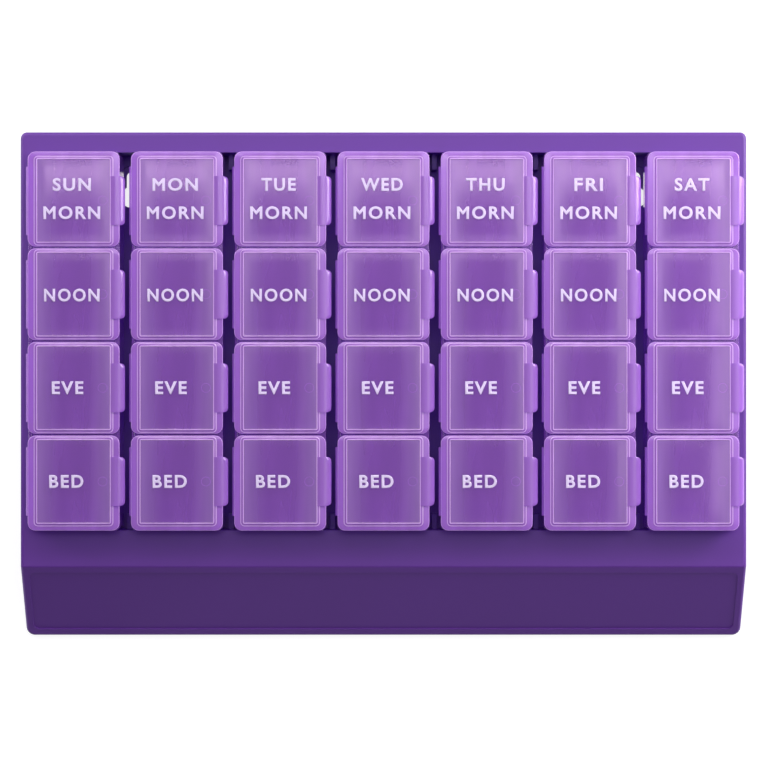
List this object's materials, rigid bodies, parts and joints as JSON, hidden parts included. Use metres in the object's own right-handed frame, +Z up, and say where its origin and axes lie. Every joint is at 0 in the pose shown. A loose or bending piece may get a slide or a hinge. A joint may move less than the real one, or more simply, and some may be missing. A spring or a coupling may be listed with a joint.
{
  "type": "weekly pill organizer",
  "caption": "Weekly pill organizer: a sloping-front tray with keyholes for wall hanging holds lift-out daily strips whose compartments have hinged thumb-tab lids.",
  "frame": {"origin": "middle of the tray's footprint, on the desk", "axes": "+X along the week from Sunday to Saturday, +Y from the sloping front to the back, +Z up"},
  "size_m": [0.227, 0.1586, 0.0265],
  "materials": {
    "tray_plastic": "satin",
    "clear_plastic": "gloss"
  },
  "bodies": {
    "tray": {"tray": "tray_plastic"},
    "strip_sun": {"strip_sun": "clear_plastic"},
    "strip_mon": {"strip_mon": "clear_plastic"},
    "strip_tue": {"strip_tue": "clear_plastic"},
    "strip_wed": {"strip_wed": "clear_plastic"},
    "strip_thu": {"strip_thu": "clear_plastic"},
    "strip_fri": {"strip_fri": "clear_plastic"},
    "strip_sat": {"strip_sat": "clear_plastic"},
    "lid_sun_morn": {"lid_sun_morn": "clear_plastic"},
    "lid_sun_noon": {"lid_sun_noon": "clear_plastic"},
    "lid_sun_eve": {"lid_sun_eve": "clear_plastic"},
    "lid_sun_bed": {"lid_sun_bed": "clear_plastic"},
    "lid_mon_morn": {"lid_mon_morn": "clear_plastic"},
    "lid_mon_noon": {"lid_mon_noon": "clear_plastic"},
    "lid_mon_eve": {"lid_mon_eve": "clear_plastic"},
    "lid_mon_bed": {"lid_mon_bed": "clear_plastic"},
    "lid_tue_morn": {"lid_tue_morn": "clear_plastic"},
    "lid_tue_noon": {"lid_tue_noon": "clear_plastic"},
    "lid_tue_eve": {"lid_tue_eve": "clear_plastic"},
    "lid_tue_bed": {"lid_tue_bed": "clear_plastic"},
    "lid_wed_morn": {"lid_wed_morn": "clear_plastic"},
    "lid_wed_noon": {"lid_wed_noon": "clear_plastic"},
    "lid_wed_eve": {"lid_wed_eve": "clear_plastic"},
    "lid_wed_bed": {"lid_wed_bed": "clear_plastic"},
    "lid_thu_morn": {"lid_thu_morn": "clear_plastic"},
    "lid_thu_noon": {"lid_thu_noon": "clear_plastic"},
    "lid_thu_eve": {"lid_thu_eve": "clear_plastic"},
    "lid_thu_bed": {"lid_thu_bed": "clear_plastic"},
    "lid_fri_morn": {"lid_fri_morn": "clear_plastic"},
    "lid_fri_noon": {"lid_fri_noon": "clear_plastic"},
    "lid_fri_eve": {"lid_fri_eve": "clear_plastic"},
    "lid_fri_bed": {"lid_fri_bed": "clear_plastic"},
    "lid_sat_morn": {"lid_sat_morn": "clear_plastic"},
    "lid_sat_noon": {"lid_sat_noon": "clear_plastic"},
    "lid_sat_eve": {"lid_sat_eve": "clear_plastic"},
    "lid_sat_bed": {"lid_sat_bed": "clear_plastic"}
  },
  "joints": [
    {"name": "strip_sun_lift", "type": "slide", "parent": "tray", "child": "strip_sun", "axis": [0, 0, 1], "range_m": [0, 0.06]},
    {"name": "strip_mon_lift", "type": "slide", "parent": "tray", "child": "strip_mon", "axis": [0, 0, 1], "range_m": [0, 0.06]},
    {"name": "strip_tue_lift", "type": "slide", "parent": "tray", "child": "strip_tue", "axis": [0, 0, 1], "range_m": [0, 0.06]},
    {"name": "strip_wed_lift", "type": "slide", "parent": "tray", "child": "strip_wed", "axis": [0, 0, 1], "range_m": [0, 0.06]},
    {"name": "strip_thu_lift", "type": "slide", "parent": "tray", "child": "strip_thu", "axis": [0, 0, 1], "range_m": [0, 0.06]},
    {"name": "strip_fri_lift", "type": "slide", "parent": "tray", "child": "strip_fri", "axis": [0, 0, 1], "range_m": [0, 0.06]},
    {"name": "strip_sat_lift", "type": "slide", "parent": "tray", "child": "strip_sat", "axis": [0, 0, 1], "range_m": [0, 0.06]},
    {"name": "lid_sun_morn_hinge", "type": "hinge", "parent": "strip_sun", "child": "lid_sun_morn", "pos_m": [-0.10945, 0.05735, 0.02405], "axis": [0, -1, 0], "range_deg": [0, 100]},
    {"name": "lid_sun_noon_hinge", "type": "hinge", "parent": "strip_sun", "child": "lid_sun_noon", "pos_m": [-0.10945, 0.02835, 0.02405], "axis": [0, -1, 0], "range_deg": [0, 100]},
    {"name": "lid_sun_eve_hinge", "type": "hinge", "parent": "strip_sun", "child": "lid_sun_eve", "pos_m": [-0.10945, -0.00065, 0.02405], "axis": [0, -1, 0], "range_deg": [0, 100]},
    {"name": "lid_sun_bed_hinge", "type": "hinge", "parent": "strip_sun", "child": "lid_sun_bed", "pos_m": [-0.10945, -0.02965, 0.02405], "axis": [0, -1, 0], "range_deg": [0, 100]},
    {"name": "lid_mon_morn_hinge", "type": "hinge", "parent": "strip_mon", "child": "lid_mon_morn", "pos_m": [-0.07745, 0.05735, 0.02405], "axis": [0, -1, 0], "range_deg": [0, 100]},
    {"name": "lid_mon_noon_hinge", "type": "hinge", "parent": "strip_mon", "child": "lid_mon_noon", "pos_m": [-0.07745, 0.02835, 0.02405], "axis": [0, -1, 0], "range_deg": [0, 100]},
    {"name": "lid_mon_eve_hinge", "type": "hinge", "parent": "strip_mon", "child": "lid_mon_eve", "pos_m": [-0.07745, -0.00065, 0.02405], "axis": [0, -1, 0], "range_deg": [0, 100]},
    {"name": "lid_mon_bed_hinge", "type": "hinge", "parent": "strip_mon", "child": "lid_mon_bed", "pos_m": [-0.07745, -0.02965, 0.02405], "axis": [0, -1, 0], "range_deg": [0, 100]},
    {"name": "lid_tue_morn_hinge", "type": "hinge", "parent": "strip_tue", "child": "lid_tue_morn", "pos_m": [-0.04545, 0.05735, 0.02405], "axis": [0, -1, 0], "range_deg": [0, 100]},
    {"name": "lid_tue_noon_hinge", "type": "hinge", "parent": "strip_tue", "child": "lid_tue_noon", "pos_m": [-0.04545, 0.02835, 0.02405], "axis": [0, -1, 0], "range_deg": [0, 100]},
    {"name": "lid_tue_eve_hinge", "type": "hinge", "parent": "strip_tue", "child": "lid_tue_eve", "pos_m": [-0.04545, -0.00065, 0.02405], "axis": [0, -1, 0], "range_deg": [0, 100]},
    {"name": "lid_tue_bed_hinge", "type": "hinge", "parent": "strip_tue", "child": "lid_tue_bed", "pos_m": [-0.04545, -0.02965, 0.02405], "axis": [0, -1, 0], "range_deg": [0, 100]},
    {"name": "lid_wed_morn_hinge", "type": "hinge", "parent": "strip_wed", "child": "lid_wed_morn", "pos_m": [-0.01345, 0.05735, 0.02405], "axis": [0, -1, 0], "range_deg": [0, 100]},
    {"name": "lid_wed_noon_hinge", "type": "hinge", "parent": "strip_wed", "child": "lid_wed_noon", "pos_m": [-0.01345, 0.02835, 0.02405], "axis": [0, -1, 0], "range_deg": [0, 100]},
    {"name": "lid_wed_eve_hinge", "type": "hinge", "parent": "strip_wed", "child": "lid_wed_eve", "pos_m": [-0.01345, -0.00065, 0.02405], "axis": [0, -1, 0], "range_deg": [0, 100]},
    {"name": "lid_wed_bed_hinge", "type": "hinge", "parent": "strip_wed", "child": "lid_wed_bed", "pos_m": [-0.01345, -0.02965, 0.02405], "axis": [0, -1, 0], "range_deg": [0, 100]},
    {"name": "lid_thu_morn_hinge", "type": "hinge", "parent": "strip_thu", "child": "lid_thu_morn", "pos_m": [0.01855, 0.05735, 0.02405], "axis": [0, -1, 0], "range_deg": [0, 100]},
    {"name": "lid_thu_noon_hinge", "type": "hinge", "parent": "strip_thu", "child": "lid_thu_noon", "pos_m": [0.01855, 0.02835, 0.02405], "axis": [0, -1, 0], "range_deg": [0, 100]},
    {"name": "lid_thu_eve_hinge", "type": "hinge", "parent": "strip_thu", "child": "lid_thu_eve", "pos_m": [0.01855, -0.00065, 0.02405], "axis": [0, -1, 0], "range_deg": [0, 100]},
    {"name": "lid_thu_bed_hinge", "type": "hinge", "parent": "strip_thu", "child": "lid_thu_bed", "pos_m": [0.01855, -0.02965, 0.02405], "axis": [0, -1, 0], "range_deg": [0, 100]},
    {"name": "lid_fri_morn_hinge", "type": "hinge", "parent": "strip_fri", "child": "lid_fri_morn", "pos_m": [0.05055, 0.05735, 0.02405], "axis": [0, -1, 0], "range_deg": [0, 100]},
    {"name": "lid_fri_noon_hinge", "type": "hinge", "parent": "strip_fri", "child": "lid_fri_noon", "pos_m": [0.05055, 0.02835, 0.02405], "axis": [0, -1, 0], "range_deg": [0, 100]},
    {"name": "lid_fri_eve_hinge", "type": "hinge", "parent": "strip_fri", "child": "lid_fri_eve", "pos_m": [0.05055, -0.00065, 0.02405], "axis": [0, -1, 0], "range_deg": [0, 100]},
    {"name": "lid_fri_bed_hinge", "type": "hinge", "parent": "strip_fri", "child": "lid_fri_bed", "pos_m": [0.05055, -0.02965, 0.02405], "axis": [0, -1, 0], "range_deg": [0, 100]},
    {"name": "lid_sat_morn_hinge", "type": "hinge", "parent": "strip_sat", "child": "lid_sat_morn", "pos_m": [0.08255, 0.05735, 0.02405], "axis": [0, -1, 0], "range_deg": [0, 100]},
    {"name": "lid_sat_noon_hinge", "type": "hinge", "parent": "strip_sat", "child": "lid_sat_noon", "pos_m": [0.08255, 0.02835, 0.02405], "axis": [0, -1, 0], "range_deg": [0, 100]},
    {"name": "lid_sat_eve_hinge", "type": "hinge", "parent": "strip_sat", "child": "lid_sat_eve", "pos_m": [0.08255, -0.00065, 0.02405], "axis": [0, -1, 0], "range_deg": [0, 100]},
    {"name": "lid_sat_bed_hinge", "type": "hinge", "parent": "strip_sat", "child": "lid_sat_bed", "pos_m": [0.08255, -0.02965, 0.02405], "axis": [0, -1, 0], "range_deg": [0, 100]}
  ]
}
